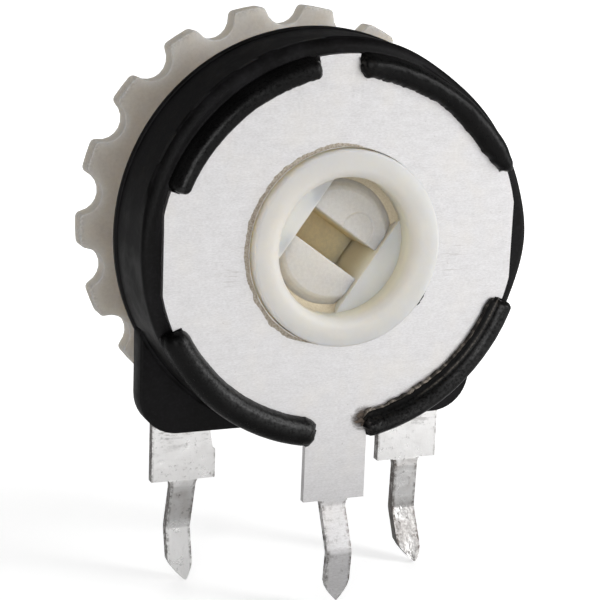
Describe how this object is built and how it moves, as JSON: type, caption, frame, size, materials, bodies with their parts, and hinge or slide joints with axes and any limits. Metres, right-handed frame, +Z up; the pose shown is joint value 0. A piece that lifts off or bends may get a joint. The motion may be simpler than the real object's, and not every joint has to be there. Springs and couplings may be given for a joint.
{
  "type": "trimmer potentiometer",
  "caption": "Upright carbon trimmer potentiometer: drum housing with rolled lips, collector plate, turning rotor, snap-in thumbwheel and kinked board pins.",
  "frame": {"origin": "on the board's surface under the rotor's axis, in the plane of the collector plate's face, where the terminals' shoulders rest", "axes": "+Z up from the board, +Y from the plate's face back along the rotor's axis to the thumbwheel, +X to the right as the plate's face is seen"},
  "size_m": [0.0174, 0.008, 0.0233],
  "materials": {
    "black_plastic": "moulded, satin",
    "tinned_plate": "rolled, tin plated",
    "tinned_pin": "tin plated",
    "phenolic": "punched laminate",
    "carbon": "printed",
    "silver_print": "printed",
    "white_plastic": "moulded, satin",
    "wheel_plastic": "moulded, slightly translucent",
    "bronze": "rolled spring sheet"
  },
  "bodies": {
    "housing": {"housing": "black_plastic", "collector_plate": "tinned_plate", "element_base": "phenolic", "carbon_track": "carbon", "pad_left": "silver_print", "pad_right": "silver_print", "terminal_left": "tinned_pin", "terminal_right": "tinned_pin", "rivet_left": "tinned_pin", "rivet_right": "tinned_pin"},
    "rotor": {"rotor": "white_plastic", "wiper": "bronze", "thumbwheel": "wheel_plastic"}
  },
  "joints": [
    {"name": "rotor_turn", "type": "hinge", "parent": "housing", "child": "rotor", "pos_m": [0, 0.002, 0.0102], "axis": [0, 1, 0], "range_deg": [-132.5, 132.5]}
  ]
}
